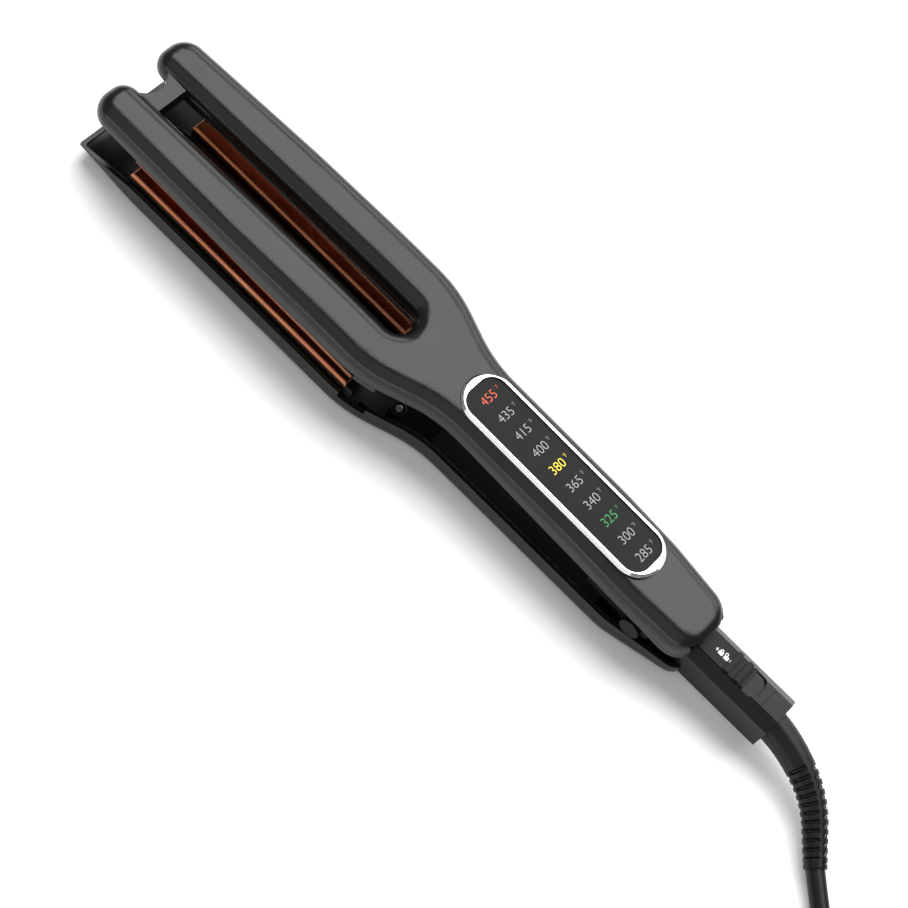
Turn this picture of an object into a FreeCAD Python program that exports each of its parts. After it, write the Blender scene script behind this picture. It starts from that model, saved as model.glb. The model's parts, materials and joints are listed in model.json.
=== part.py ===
"""Hair iron with two pairs of hot plates: a parametric FreeCAD assembly.

Frame: +X towards the tip, +Y to the left, +Z up, origin under the middle of the body on the surface
that the lower arm lies on.  Pieces of the upper arm are drawn with the jaws closed and then turned
together about the hinge by rest_open degrees.  Lengths are in millimetres, angles in degrees.
"""
import FreeCAD, Part
import math
import os
import re

import Sketcher

V = FreeCAD.Vector

DIMENSIONS = {
    # overall
    "rest_open": 1.5,
    # stations along X
    "tip_x": 164.2, "lower_tip_x": 163.0, "rear_x": -165.0, "nose_x": -128.5,
    "shoulder_front": 24.0, "shoulder_rear": -4.0, "nose_start": -96.0,
    "web_rear": 146.2, "web_front": 158.5, "slot_rear": 25.0,
    # plan half widths of the shells
    "head_half": 26.7, "tip_half": 24.8, "taper_start": 95.0, "handle_half": 16.5,
    "upper_handle_half": 15.8, "upper_nose_half": 13.4, "lower_nose_half": 11.0,
    "upper_slot_half": 6.3, "lower_slot_half": 5.0, "wall": 1.9, "floor_thick": 3.0,
    # lower arm heights
    "lower_rim": 12.0, "lower_edge_round": 6.0, "lower_corner_round": 2.0, "liner_thick": 1.6,
    "lower_liner_top": 11.2,
    "frame_low": 3.2, "frame_top": 5.0, "boss_radius": 3.0, "screw_radius": 1.3, "head_radius": 2.6,
    "head_tall": 1.4,
    # upper arm heights, jaws closed
    "upper_top": 36.0, "upper_tip_top": 29.2, "upper_round": 6.8, "tuck_round": 5.0, "tuck_drop": 1.5,
    "web_top": 26.6, "web_hollow": 9.0, "upper_wall": 2.9, "roof": 2.6, "nose_arch": 30.5,
    # hot plates
    "plate_front": 139.0, "plate_rear": 28.0, "plate_top": 16.5, "plate_thick": 2.8,
    "plate_round": 1.2, "lower_plate_mid": 15.9, "lower_plate_wide": 16.8,
    "upper_plate_mid": 16.4, "upper_plate_wide": 14.4, "upper_carrier_wide": 12.0,
    "plate_gap": 0.1, "carrier_deep": 5.2, "heater_wide": 9.0,
    "heater_thick": 2.0, "cushion_len": 8.0, "cushion_first": 40.0, "cushion_pitch": 41.0,
    "upper_frame_low": 24.7, "upper_frame_top": 26.5,
    # hinge
    "hinge_x": -105.0, "hinge_z": 17.0, "pin_radius": 2.0, "pin_clear": 0.05, "bush_radius": 3.2,
    "ear_inner": 9.3, "ear_thick": 2.4, "cap_inner": 12.0, "cap_outer": 15.0, "cap_radius": 4.2,
    "spring_radius": 4.6, "spring_bore": 2.5, "spring_half": 5.0, "leg_half": 0.6,
    # tail
    "tail_half": 8.7, "tail_top": 25.7, "tail_low": 4.3, "tail_chamfer": 4.2, "tail_rear": -157.0,
    "tail_wall": 1.8, "tail_seam": 14.0, "tail_front": -98.5, "cord_axis_z": 13.5, "barrel_front": -146.0,
    "barrel_rear": -161.5, "barrel_radius": 6.6, "cap_bore": 6.55,
    # lock slider
    "lock_front": -124.5, "lock_rear": -147.8, "lock_half": 4.7, "lock_low": 24.6, "lock_top": 25.6,
    "lock_rib_top": 27.0, "lock_rib_long": 2.2, "lock_rib_rear": -145.6, "lock_rib_pitch": 5.0,
    "recess_half": 5.0, "recess_floor": 24.5, "recess_rear": -153.5, "recess_front": -118.0,
    "recess_round": 3.2,
    # display
    "bezel_rear": -98.0, "bezel_front": -3.0, "bezel_half": 11.0, "bezel_ring": 1.7, "bezel_end": 3.2,
    "bezel_slope": 0.9,
    "window_round": 6.5, "seat_floor": 34.3,
    "bezel_top": 37.0, "window_top": 36.2, "board_wide": 15.0,
    # push buttons on the inner face of the upper handle
    "button_front": -43.7, "button_pitch": 15.8, "button_long": 7.4, "button_wide": 18.0,
    "button_gap": 0.3, "button_low": 23.4, "button_flange": 27.0, "button_top": 27.8,
    "upper_liner_low": 24.9, "upper_liner_top": 26.5, "switch_low": 28.6, "switch_board_low": 29.2,
    # cord
    "cord_dia": 7.0, "relief_base": 12.9, "relief_tip": 8.2, "tie_thick": 1.0, "tie_wide": 10.0,
    "tie_angle": 300.0,
    "coil_x": -293.0, "coil_y": 20.0, "coil_mid_radius": 42.0, "coil_layers": 3.0, "plug_angle": 180.0,
    "plug_radius": 40.0, "plug_long": 34.0, "plug_wide": 24.0, "plug_thick": 15.0, "plug_round": 3.0,
    "blade_long": 16.0, "blade_wide": 6.3, "blade_thick": 1.5, "blade_pitch": 12.7,
}

doc = FreeCAD.newDocument("hair_iron")
sheet = doc.addObject("Spreadsheet::Sheet", "sheet")
for row, (alias, value) in enumerate(DIMENSIONS.items(), start=1):
    sheet.set(f"A{row}", alias)
    sheet.set(f"B{row}", str(value))
    sheet.setAlias(f"B{row}", alias)
doc.recompute()

PLANES = {"XY_Plane": 1, "XZ_Plane": -1, "YZ_Plane": 1}
subparts = []


def size(alias):
    """The number in one cell."""
    return float(sheet.get(alias))


def amount(formula):
    """The number that a formula of cell names stands for."""
    return float(sheet.evalExpression(str(formula)))


def cells(formula):
    """The same formula with each cell name written as setExpression wants it."""
    def named(word):
        return f"sheet.{word[0]}" if word[0] in DIMENSIONS else word[0]
    return re.sub(r"[a-z_]+", named, str(formula))


# ---- PartDesign helpers -------------------------------------------------------------------------

def new_body(name):
    """A PartDesign body whose label names its file."""
    body = doc.addObject("PartDesign::Body", name)
    body.Label = name
    subparts.append(body)
    return body


def sketch_on(body, role, height):
    """An empty sketch parallel to one of the body's own origin planes, height along its normal."""
    sketch = body.newObject("Sketcher::SketchObject", f"{body.Name}_sketch")
    plane = [item for item in body.Origin.OriginFeatures if item.Role == role][0]
    sketch.AttachmentSupport = [(plane, "")]
    sketch.MapMode = "FlatFace"
    sketch.setExpression("AttachmentOffset.Base.z", cells(height))
    return sketch


def bind(sketch, kind, first, position, formula):
    """A signed distance from the sketch's origin to a point, bound to the sheet."""
    index = sketch.addConstraint(Sketcher.Constraint(kind, -1, 1, first, position, amount(formula)))
    sketch.setExpression(f"Constraints[{index}]", cells(formula))


def draw_polygon(sketch, corners):
    """A closed outline of straight lines; each corner is a pair of formulas."""
    points = [V(amount(across), amount(up), 0) for across, up in corners]
    lines = [sketch.addGeometry(Part.LineSegment(points[i], points[(i + 1) % len(points)]), False)
             for i in range(len(points))]
    for i, line in enumerate(lines):
        sketch.addConstraint(Sketcher.Constraint("Coincident", line, 2, lines[(i + 1) % len(lines)], 1))
    for line, (across, up) in zip(lines, corners):
        bind(sketch, "DistanceX", line, 1, across)
        bind(sketch, "DistanceY", line, 1, up)


def draw_circle(sketch, across, up, radius):
    """A circle with its centre and radius bound to the sheet."""
    circle = Part.Circle(V(amount(across), amount(up), 0), V(0, 0, 1), amount(radius))
    index = sketch.addGeometry(circle, False)
    bind(sketch, "DistanceX", index, 3, across)
    bind(sketch, "DistanceY", index, 3, up)
    limit = sketch.addConstraint(Sketcher.Constraint("Radius", index, amount(radius)))
    sketch.setExpression(f"Constraints[{limit}]", cells(radius))


def slab(body, role, low, high, draw, *shape):
    """Material between two heights along the plane's axis, with the outline that draw makes."""
    height = low if PLANES[role] > 0 else f"-({high})"
    sketch = sketch_on(body, role, height)
    draw(sketch, *shape)
    pad = body.newObject("PartDesign::Pad", f"{body.Name}_pad")
    pad.Profile = sketch
    pad.setExpression("Length", cells(f"({high}) - ({low})"))
    doc.recompute()
    return pad


def hollow(body, role, low, high, draw, *shape):
    """The same span taken out of the body; it stops the macro if nothing was cut."""
    before = body.Shape.Volume
    height = high if PLANES[role] > 0 else f"-({low})"
    sketch = sketch_on(body, role, height)
    draw(sketch, *shape)
    pocket = body.newObject("PartDesign::Pocket", f"{body.Name}_pocket")
    pocket.Profile = sketch
    pocket.setExpression("Length", cells(f"({high}) - ({low})"))
    doc.recompute()
    if body.Shape.Volume > before - 1e-3:
        raise RuntimeError(f"a pocket of {body.Label} cut nothing")
    return pocket


def rectangle(x_low, x_high, y_low, y_high):
    """The corners of a rectangle from its four limits."""
    return [(x_low, y_low), (x_high, y_low), (x_high, y_high), (x_low, y_high)]


def box_slab(body, x_span, y_span, z_span):
    """A rectangular block between three pairs of limits."""
    return slab(body, "XY_Plane", *z_span, draw_polygon, rectangle(*x_span, *y_span))


def box_hollow(body, x_span, y_span, z_span):
    """A rectangular hollow between three pairs of limits."""
    return hollow(body, "XY_Plane", *z_span, draw_polygon, rectangle(*x_span, *y_span))


def round_edges(body, radius, wanted):
    """A fillet of the bound radius on every edge of the body that wanted accepts."""
    base = body.Tip
    names = [f"Edge{i}" for i, edge in enumerate(base.Shape.Edges, start=1) if wanted(edge)]
    fillet = body.newObject("PartDesign::Fillet", f"{body.Name}_round")
    fillet.Base = (base, names)
    fillet.setExpression("Radius", cells(radius))
    doc.recompute()
    return fillet


def at_height(height):
    """Accepts the edges that lie flat at one height."""
    level = amount(height)
    return lambda edge: max(abs(edge.BoundBox.ZMin - level), abs(edge.BoundBox.ZMax - level)) < 1e-4


def upright(edge):
    """Accepts the straight edges that run along Z."""
    box = edge.BoundBox
    return box.XLength < 1e-4 and box.YLength < 1e-4 and box.ZLength > 1e-3


def sides():
    """The two sides of the iron: a name and the sign of Y."""
    return (("left", 1), ("right", -1))


def across(sign, low, high):
    """A pair of Y limits on one side of the middle plane, lowest first."""
    return (low, high) if sign > 0 else (f"-({high})", f"-({low})")


# ---- helpers for the curved shells ---------------------------------------------------------------

def rounded_wire(corners):
    """A closed wire in the XY plane through (x, y, radius) corners, each corner a tangent arc."""
    count = len(corners)
    points = [V(x, y, 0) for x, y, _ in corners]
    tangents = []
    for i, (_, _, radius) in enumerate(corners):
        back = (points[i - 1] - points[i]).normalize()
        ahead = (points[(i + 1) % count] - points[i]).normalize()
        turn = math.pi - back.getAngle(ahead)
        reach = radius * math.tan(turn / 2)
        middle = (back + ahead).normalize() * (radius / math.cos(turn / 2) - radius)
        tangents.append((points[i] + back * reach, points[i] + middle, points[i] + ahead * reach))
    edges = []
    for i, (start, middle, end) in enumerate(tangents):
        if (end - start).Length > 1e-6:
            edges.append(Part.Arc(start, middle, end).toShape())
        following = tangents[(i + 1) % count][0]
        if (following - end).Length > 1e-5:
            edges.append(Part.LineSegment(end, following).toShape())
    return Part.Wire(Part.__sortEdges__(edges))


def mirrored(half):
    """A closed outline from its left half, given front to rear."""
    return half + [(x, -y, radius) for x, y, radius in reversed(half)]


def plan_prism(corners, low, high, inset=0.0):
    """The outline drawn inwards by inset and raised from one height to another."""
    face = Part.Face(rounded_wire(corners))
    if inset:
        face = face.makeOffset2D(-inset)
    face.translate(V(0, 0, low))
    return face.extrude(V(0, 0, high - low))


def side_prism(corners, half_width):
    """An outline in the XZ plane swept across the whole width."""
    face = Part.Face(rounded_wire(corners))
    face.rotate(V(), V(1, 0, 0), 90)
    face.translate(V(0, half_width, 0))
    return face.extrude(V(0, -2 * half_width, 0))


def stadium(rear, front, half, low, high):
    """A prism with straight sides and half-round ends along X."""
    corners = [(front, half, half), (rear, half, half), (rear, -half, half), (front, -half, half)]
    return plan_prism(corners, low, high)


def plain_box(x_span, y_span, z_span):
    """A box shape between three pairs of numbers."""
    corner = V(x_span[0], y_span[0], z_span[0])
    return Part.makeBox(x_span[1] - x_span[0], y_span[1] - y_span[0], z_span[1] - z_span[0], corner)


def rim_edges(shape, chooser):
    """Edges between an upright wall and a face that isn't upright, where chooser takes their middle."""
    picked = []
    for edge in shape.Edges:
        point = edge.valueAt((edge.FirstParameter + edge.LastParameter) / 2)
        walls = 0
        for face in shape.ancestorsOfType(edge, Part.Face):
            along, around = face.Surface.parameter(point)
            walls += abs(face.normalAt(along, around).z) < 0.01
        if walls == 1 and chooser(point):
            picked.append(edge)
    return picked


def shaped(name, shape):
    """A sub-part whose shape is worked out in code from the sheet's sizes."""
    item = doc.addObject("Part::Feature", name)
    item.Label = name
    item.Shape = shape.removeSplitter()
    subparts.append(item)
    return item


# ---- the two housings ----------------------------------------------------------------------------

def upper_plan():
    """Outline of the upper arm seen from above: a fork of two arms, shoulders, handle and nose."""
    tip, head, slot = size("tip_x"), size("head_half"), size("upper_slot_half")
    handle, nose = size("upper_handle_half"), size("nose_x")
    half = [
        (tip, slot, 7.0), (tip, size("tip_half"), 9.0), (size("taper_start"), head, 400.0),
        (size("shoulder_front"), head, 55.0),
        (size("shoulder_rear"), handle, 55.0), (size("nose_start"), handle, 40.0),
        (nose, size("upper_nose_half"), 12.0),
    ]
    return mirrored(half) + [(size("slot_rear"), -slot, slot), (size("slot_rear"), slot, slot)]


def upper_crown(drop, reach):
    """Side view of the upper arm from its rim to its top; drop lowers the top, reach the rim."""
    nose, tip, top = size("nose_x") - 5, size("tip_x") + 5, size("upper_top") - drop
    return [
        (nose, 16.4 - reach, 1.0), (-96.0, 22.6 - reach, 30.0), (-20.0, 24.9 - reach, 200.0),
        (30.0, 24.0 - reach, 300.0), (tip, 18.6 - reach, 1.0), (tip, size("upper_tip_top") - drop, 1.0),
        (50.0, top - 0.2, 400.0), (-70.0, top, 60.0), (nose, 32.2 - drop, 1.0),
    ]


def tail_arch():
    """The room that the tail needs where it leaves the rear of the upper housing."""
    rear = (size("nose_x") - 5, size("hinge_x") + 12)
    side = size("tail_half") + 0.7
    return plain_box(rear, (-side, side), (0.0, size("nose_arch")))


def upper_housing():
    """The outer shell of the upper arm, open below, with its web, hook tabs and display seat."""
    blank = plan_prism(upper_plan(), 0.0, 60.0)
    blank = blank.common(side_prism(upper_crown(0.0, size("tuck_drop")), 40.0)).Solids[0]
    middle = (size("upper_top") + size("lower_rim")) / 2
    blank = blank.makeFillet(size("upper_round"), rim_edges(blank, lambda point: point.z > middle))
    blank = blank.makeFillet(size("tuck_round"), rim_edges(blank, lambda point: point.z < middle))
    shell = blank.common(side_prism(upper_crown(0.0, 0.0), 40.0))
    inside = plan_prism(upper_plan(), 0.0, 60.0, size("upper_wall"))
    inside = inside.common(side_prism(upper_crown(size("roof"), 4.0), 40.0))
    shell = shell.cut(inside).cut(tail_arch())
    shell = shell.fuse([upper_web(), *hook_tabs()]).cut(hinge_notch())
    rear, front, half = size("bezel_rear"), size("bezel_front"), size("bezel_half")
    seat = stadium(rear, front, half, size("seat_floor"), 50.0)
    ledge = size("bezel_ring") + 0.2
    hole = stadium(rear + ledge, front - ledge, half - ledge, 30.0, 50.0)
    shell = shell.cut(seat).cut(hole)
    return shaped("upper_housing", shell)


def upper_web():
    """The low bar that joins the two arms just behind their tips, its front edge hollowed in plan."""
    side = size("upper_slot_half") + 1.8
    bar = plain_box((size("web_rear"), size("web_front")), (-side, side), (19.6, size("web_top")))
    middle = V(size("web_front") + 3.0, 0.0, 0.0)
    return bar.cut(Part.makeCylinder(size("web_hollow"), 60.0, middle))


def hook_tabs():
    """A lip on each side of the rim, behind the plates, over the notch in the lower rim."""
    ring = plan_prism(upper_plan(), 20.4, 25.3, 1.75).cut(plan_prism(upper_plan(), 20.0, 26.0, 2.9))
    spans = ((10.0, 30.0), (-30.0, -10.0))
    return [ring.common(plain_box((18.0, 27.0), span, (20.0, 26.0))) for span in spans]


def hinge_notch():
    """A round cut across both walls that keeps the upper shell off the hinge caps."""
    radius = size("cap_radius") + 0.6
    return Part.makeCylinder(radius, 60.0, V(size("hinge_x"), -30.0, size("hinge_z")), V(0, 1, 0))


def lower_plan(tip, corner):
    """Outline of the lower arm seen from above, up to a tip with corners of one radius."""
    head, handle = size("head_half"), size("handle_half")
    half = [
        (tip, head, corner), (size("shoulder_front"), head, 55.0),
        (size("shoulder_rear"), handle, 55.0), (size("nose_start"), handle, 40.0),
        (size("nose_x"), size("lower_nose_half"), 6.5),
    ]
    return mirrored(half)


def lower_floor(lift):
    """Side view of the lower arm's underside, open upwards; lift leaves a wall below the hollow."""
    nose, tip, over = size("nose_x") - 5, size("lower_tip_x") + 16.0, 40.0
    return [
        (nose, 4.0 + lift, 1.0), (-98.0, lift, 60.0), (136.0, lift, 60.0), (tip, 6.6 + lift, 1.0),
        (tip, over, 1.0), (nose, over, 1.0),
    ]


def above_rim():
    """Side view of everything above the lower rim, which dips towards the tip."""
    nose, tip, rim, over = size("nose_x") - 5, size("lower_tip_x") + 2.0, size("lower_rim"), 50.0
    return [(nose, rim, 1.0), (136.0, rim, 60.0), (tip, 7.2, 1.0), (tip, over, 1.0), (nose, over, 1.0)]


def screw_places():
    """Where the four case screws of the lower arm stand."""
    return ((-72.0, 0.0), (-18.0, 0.0), (10.0, 12.0), (10.0, -12.0))


def octagon(half, low, high, chamfer):
    """The eight corners of the tail's cross-section, as formulas."""
    half, low, high, chamfer = (f"({formula})" for formula in (half, low, high, chamfer))
    return [
        (f"-{half}", f"{low} + {chamfer}"), (f"-{half} + {chamfer}", low), (f"{half} - {chamfer}", low),
        (half, f"{low} + {chamfer}"), (half, f"{high} - {chamfer}"), (f"{half} - {chamfer}", high),
        (f"-{half} + {chamfer}", high), (f"-{half}", f"{high} - {chamfer}"),
    ]


def lower_housing():
    """The outer shell of the lower arm, open above, with its slot, notches and screw bosses."""
    tip = size("lower_tip_x")
    blank = plan_prism(lower_plan(tip + 14.0, 8.0), -5.0, 30.0)
    blank = blank.common(side_prism(lower_floor(0.0), 40.0)).Solids[0]
    blank = blank.makeFillet(size("lower_edge_round"), rim_edges(blank, lambda point: point.z < 10.0))
    blank = blank.cut(side_prism(above_rim(), 40.0))
    blank = blank.common(plan_prism(lower_plan(tip, size("lower_corner_round")), -5.0, 30.0))
    wall, slot = size("wall"), size("lower_slot_half")
    rear, front = size("slot_rear"), size("web_rear")
    island = stadium(rear - wall, front + wall, slot + wall, -5.0, 30.0)
    inside = plan_prism(lower_plan(tip, 3.0), -5.0, 30.0, wall)
    inside = inside.common(side_prism(lower_floor(size("floor_thick")), 40.0))
    shell = blank.cut(inside.cut(island)).cut(stadium(rear, front, slot, -5.0, 30.0))
    tail = [V(-140.0, amount(across), amount(up))
            for across, up in octagon("tail_half + 0.1", "tail_low - 0.1", "tail_top", "tail_chamfer")]
    tail = Part.Face(Part.makePolygon(tail + tail[:1])).extrude(V(45.0, 0, 0))
    notches = plain_box((17.0, 28.5), (-40.0, 40.0), (9.0, 20.0))
    bores = []
    for x, y in screw_places():
        shell = shell.fuse(Part.makeCylinder(size("boss_radius"), 7.0, V(x, y, 1.5)))
        bores.append(Part.makeCylinder(size("screw_radius"), 12.0, V(x, y, -1.0)))
        bores.append(Part.makeCylinder(size("head_radius") + 0.1, size("head_tall") + 1.0, V(x, y, -1.0)))
    return shaped("lower_housing", shell.cut([tail, notches, *bores]))


# ---- lower arm -----------------------------------------------------------------------------------

def lower_heater_frame():
    """The fixed tray in the lower head that the four cushions of each plate stand on."""
    body = new_body("lower_heater_frame")
    span = ("frame_low", "frame_top")
    box_slab(body, ("12.5", "22.9"), ("-19.0", "19.0"), span)
    for _, sign in sides():
        box_slab(body, ("22.0", "plate_front - 8.5"), across(sign, "7.3", "23.2"), span)
    for x, y in screw_places()[2:]:
        hollow(body, "XY_Plane", *span, draw_circle, x, y, "boss_radius + 0.2")


def lower_plate_unit(side, sign):
    """One floating hot plate of the lower jaw with its carrier and heater."""
    half = "lower_plate_wide * 0.5"
    plate = new_body(f"lower_plate_{side}")
    width = across(sign, f"lower_plate_mid - {half}", f"lower_plate_mid + {half}")
    box_slab(plate, ("plate_rear", "plate_front"), width, ("plate_top - plate_thick", "plate_top"))
    round_edges(plate, "plate_round", at_height("plate_top"))

    under = "plate_top - plate_thick"
    low = f"{under} - carrier_deep"
    carrier = new_body(f"lower_carrier_{side}")
    width = across(sign, f"lower_plate_mid - {half} + 0.3", f"lower_plate_mid + {half} - 0.3")
    box_slab(carrier, ("plate_rear", "plate_front"), width, (low, under))
    outer = across(sign, "20.2", f"lower_plate_mid + {half} - 0.3")
    box_slab(carrier, ("plate_rear - 3.4", "plate_rear - 0.1"), outer, (low, "plate_top - 1.2"))
    nub = f"{'' if sign > 0 else '-'}22.6"
    slab(carrier, "YZ_Plane", "plate_front - 0.5", "plate_front + 2.4",
         draw_circle, nub, f"{under} - 0.8", "0.8")
    play = "heater_wide * 0.5 + 0.2"
    pocket = across(sign, f"lower_plate_mid - ({play})", f"lower_plate_mid + {play}")
    room = (f"{under} - heater_thick - 0.1", under)
    box_hollow(carrier, ("plate_rear + 4.0", "plate_front - 4.0"), pocket, room)

    heater = new_body(f"lower_heater_{side}")
    width = across(sign, "lower_plate_mid - heater_wide * 0.5", "lower_plate_mid + heater_wide * 0.5")
    box_slab(heater, ("plate_rear + 5.0", "plate_front - 5.0"), width, (f"{under} - heater_thick", under))


def lower_cushions(side, sign):
    """Three silicone blocks that push one lower plate up."""
    name = f"lower_cushions_{side}"
    width = across(sign, "lower_plate_mid - cushion_len * 0.5", "lower_plate_mid + cushion_len * 0.5")
    span = ("frame_top", "plate_top - plate_thick - carrier_deep")
    blocks = []
    for number in range(3):
        start = f"cushion_first + cushion_pitch * {number}"
        blocks.append(primitive_box(f"{name}_{number}", (start, f"{start} + cushion_len"), width, span))
    joined(name, "Part::Compound", blocks)


def primitive_box(name, x_span, y_span, z_span):
    """A Part::Box between three pairs of bound limits."""
    box = doc.addObject("Part::Box", name)
    for prop, axis, (low, high) in zip(("Length", "Width", "Height"), "xyz", (x_span, y_span, z_span)):
        box.setExpression(prop, cells(f"({high}) - ({low})"))
        box.setExpression(f"Placement.Base.{axis}", cells(low))
    return box


def primitive_rod(name, foot, radius, length, direction=(0, 0, 1)):
    """A Part::Cylinder from a bound foot point along X, Y or Z."""
    rod = doc.addObject("Part::Cylinder", name)
    rod.Placement = FreeCAD.Placement(V(), FreeCAD.Rotation(V(0, 0, 1), V(*direction)))
    rod.setExpression("Radius", cells(radius))
    rod.setExpression("Height", cells(length))
    for axis, value in zip("xyz", foot):
        rod.setExpression(f"Placement.Base.{axis}", cells(value))
    return rod


def joined(name, kind, pieces):
    """A sub-part made of primitives: Part::Compound for loose solids, Part::MultiFuse for one solid."""
    item = doc.addObject(kind, name)
    item.Label = name
    if kind == "Part::Compound":
        item.Links = pieces
    else:
        item.Shapes = pieces
    subparts.append(item)
    return item


def lower_liner():
    """The flat inner cover of the lower handle, screwed down from below."""
    body = new_body("lower_liner")
    span = ("lower_liner_top - liner_thick", "lower_liner_top")
    box_slab(body, ("-90.0", "-7.0"), ("-14.2", "14.2"), span)
    round_edges(body, "1.5", upright)


def control_board():
    """The circuit board in the lower handle with its tallest components."""
    body = new_body("control_board")
    box_slab(body, ("-66.0", "-24.0"), ("-11.0", "11.0"), ("4.0", "5.6"))
    for x_low, x_high, y_low, y_high, top in (
            ("-62.0", "-50.0", "-8.0", "2.0", "9.2"), ("-46.0", "-39.0", "-3.0", "6.0", "8.4"),
            ("-34.0", "-28.0", "-8.0", "8.0", "7.4")):
        box_slab(body, (x_low, x_high), (y_low, y_high), ("5.0", top))


def tail_half_shell(name, keep_top):
    """One half of the octagonal tail; both halves meet on a level seam and hold the hinge pin."""
    body = new_body(name)
    outer = octagon("tail_half", "tail_low", "tail_top", "tail_chamfer")
    inner = octagon("tail_half - tail_wall", "tail_low + tail_wall", "tail_top - tail_wall",
                    "tail_chamfer - tail_wall * 0.6")
    side = "tail_half - tail_wall"
    if keep_top:
        outer = [("-tail_half", "tail_seam"), ("tail_half", "tail_seam"), *outer[4:]]
        inner = [(f"-({side})", "tail_seam"), (side, "tail_seam"), *inner[4:]]
    else:
        outer = [*outer[:4], ("tail_half", "tail_seam"), ("-tail_half", "tail_seam")]
        inner = [*inner[:4], (side, "tail_seam"), (f"-({side})", "tail_seam")]
    slab(body, "YZ_Plane", "tail_rear", "tail_front", draw_polygon, outer)
    hollow(body, "YZ_Plane", "tail_rear", "tail_front", draw_polygon, inner)
    if keep_top:
        recess = (("recess_rear", "recess_front"), ("-recess_half", "recess_half"),
                  ("recess_floor", "tail_top"))
        box_hollow(body, *recess)
        rear = size("recess_rear")
        round_edges(body, "recess_round",
                    lambda edge: upright(edge) and abs(edge.BoundBox.XMin - rear) < 0.01)
        hollow(body, "XZ_Plane", "-tail_half", "tail_half", draw_circle, "hinge_x", "hinge_z", "pin_radius")
    return body


def hinge_pin():
    """The steel pin with a round cap on each end, fixed in the tail."""
    body = new_body("hinge_pin")
    slab(body, "XZ_Plane", "-cap_inner", "cap_inner", draw_circle, "hinge_x", "hinge_z", "pin_radius")
    for name, sign in sides():
        cap = new_body(f"hinge_cap_{name}")
        pair = across(sign, "cap_inner", "cap_outer")
        slab(cap, "XZ_Plane", *pair, draw_circle, "hinge_x", "hinge_z", "cap_radius")


def hinge_spring():
    """The coil round the pin that lifts the upper arm, with the leg that bears on the lower arm."""
    body = new_body("hinge_spring")
    slab(body, "XZ_Plane", "-spring_half", "spring_half", draw_circle, "hinge_x", "hinge_z", "spring_radius")
    leg = ("-spring_half", "-spring_half + leg_half * 2.0")
    under = "hinge_z - spring_radius"
    box_slab(body, ("hinge_x", "hinge_x + 13.0"), leg, (under, f"{under} + 1.2"))
    hollow(body, "XZ_Plane", "-spring_half", "spring_half", draw_circle, "hinge_x", "hinge_z", "spring_bore")


def swivel_barrel():
    """The barrel inside the tail that lets the cord turn."""
    body = new_body("swivel_barrel")
    slab(body, "YZ_Plane", "barrel_rear", "barrel_front", draw_circle, "0.0", "cord_axis_z", "barrel_radius")
    hollow(body, "YZ_Plane", "barrel_front - 12.0", "barrel_front", draw_circle, "0.0", "cord_axis_z", "3.6")


def end_cap():
    """The octagonal ring that closes the tail round the cord's strain relief."""
    body = new_body("end_cap")
    outer = octagon("tail_half", "tail_low", "tail_top", "tail_chamfer")
    slab(body, "YZ_Plane", "rear_x", "tail_rear", draw_polygon, outer)
    hollow(body, "YZ_Plane", "rear_x", "tail_rear", draw_circle, "0.0", "cord_axis_z", "cap_bore + 0.15")


def lock_slider():
    """The thumb slider on the tail: a plate with three ribs."""
    body = new_body("lock_slider")
    half = ("-lock_half", "lock_half")
    box_slab(body, ("lock_rear", "lock_front"), half, ("lock_low", "lock_top"))
    for number in range(2):
        start = f"lock_rib_rear + lock_rib_pitch * {number}"
        box_slab(body, (start, f"{start} + lock_rib_long"), half, ("lock_low", "lock_rib_top"))
    box_slab(body, ("lock_rear", "lock_rear + 1.3"), half, ("lock_low", "lock_rib_top - 0.5"))


def lock_spring():
    """The leaf under the slider that gives its two end positions a click."""
    body = new_body("lock_spring")
    box_slab(body, ("-145.0", "-131.0"), ("-3.0", "3.0"), ("22.6", "23.1"))


def lower_screws():
    """The case screws of the lower arm."""
    screws = []
    for number, (x, y) in enumerate(screw_places()):
        head = primitive_rod(f"lower_head_{number}", (x, y, "0.2"), "head_radius", "head_tall - 0.2")
        shank = primitive_rod(f"lower_shank_{number}", (x, y, "0.2"), "screw_radius", "8.8")
        screw = doc.addObject("Part::Fuse", f"lower_screw_{number}")
        screw.Base = head
        screw.Tool = shank
        screws.append(screw)
    joined("lower_screws", "Part::Compound", screws)


# ---- upper arm, drawn closed ---------------------------------------------------------------------

def upper_plate_unit(side, sign):
    """One hot plate of the upper jaw with its carrier and heater."""
    half = "upper_plate_wide * 0.5"
    low = "plate_top + plate_gap"
    top = f"{low} + plate_thick"
    plate = new_body(f"upper_plate_{side}")
    width = across(sign, f"upper_plate_mid - {half}", f"upper_plate_mid + {half}")
    box_slab(plate, ("plate_rear", "plate_front"), width, (low, top))
    round_edges(plate, "plate_round", at_height(low))

    carrier = new_body(f"upper_carrier_{side}")
    spread = "upper_carrier_wide * 0.5"
    width = across(sign, f"upper_plate_mid - {spread}", f"upper_plate_mid + {spread}")
    box_slab(carrier, ("plate_rear", "plate_front"), width, (top, "upper_frame_low"))
    play = "heater_wide * 0.5 + 0.2"
    pocket = across(sign, f"upper_plate_mid - ({play})", f"upper_plate_mid + {play}")
    room = (top, f"{top} + heater_thick + 0.1")
    box_hollow(carrier, ("plate_rear + 4.0", "plate_front - 4.0"), pocket, room)

    heater = new_body(f"upper_heater_{side}")
    width = across(sign, "upper_plate_mid - heater_wide * 0.5", "upper_plate_mid + heater_wide * 0.5")
    box_slab(heater, ("plate_rear + 5.0", "plate_front - 5.0"), width, (top, f"{top} + heater_thick"))


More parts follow.
